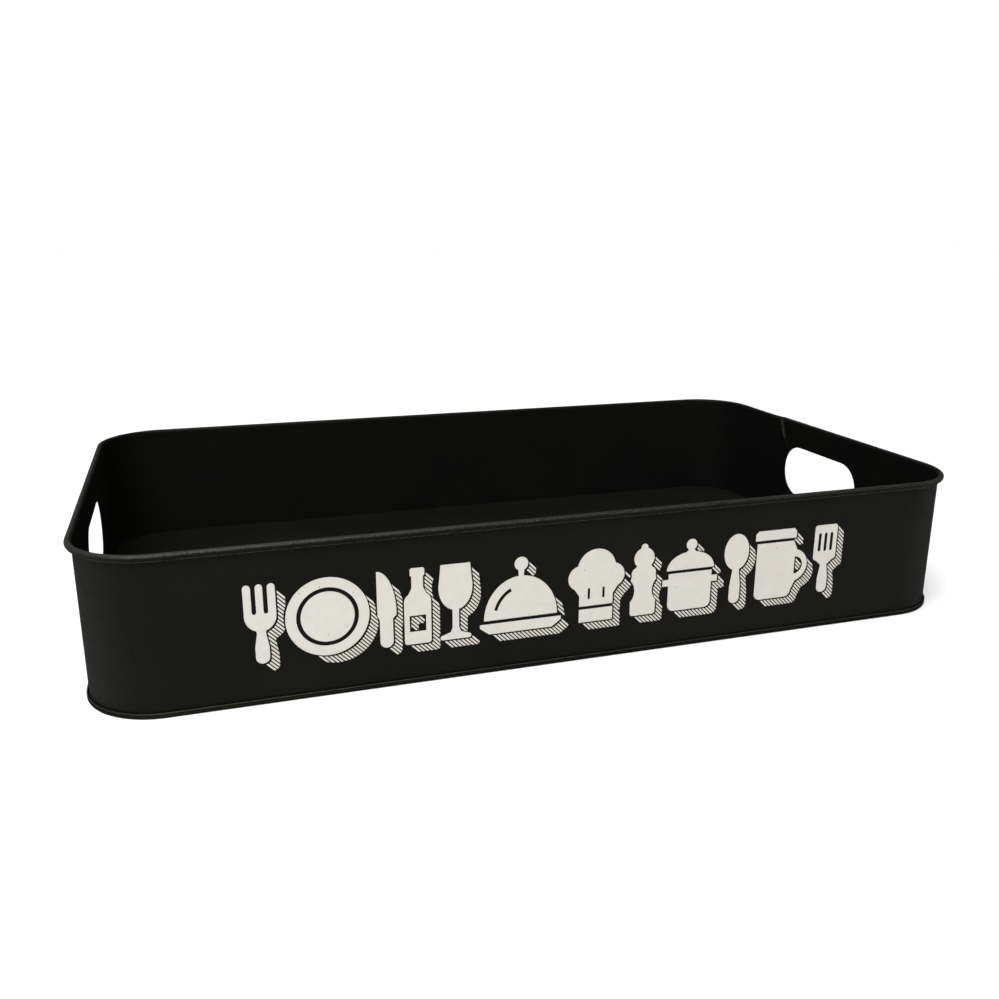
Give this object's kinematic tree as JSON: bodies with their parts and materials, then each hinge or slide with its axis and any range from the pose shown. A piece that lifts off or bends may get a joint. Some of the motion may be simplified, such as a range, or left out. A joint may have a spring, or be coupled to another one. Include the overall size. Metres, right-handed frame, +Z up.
{
  "type": "metal serving tray",
  "caption": "Oblong black metal serving tray with tall upright walls, rounded corners, a wired rim, a raised floor and a hand slot in each short end.",
  "frame": {"origin": "centre of the base, on the plane that the tray stands on", "axes": "+X along the tray from hand slot to hand slot, with the lap joint in the +X end; -Y towards the printed front wall; +Z up"},
  "size_m": [0.4028, 0.2298, 0.0665],
  "materials": {
    "black_paint": "satin",
    "floor_paint": "satin",
    "wire": "drawn wire, hidden in the curl",
    "white_print": "matte screen-printed ink, a thin layer on the front wall"
  },
  "bodies": {
    "root": {"wall_band": "black_paint", "rim_wire": "wire", "floor_pan": "floor_paint"}
  },
  "joints": []
}
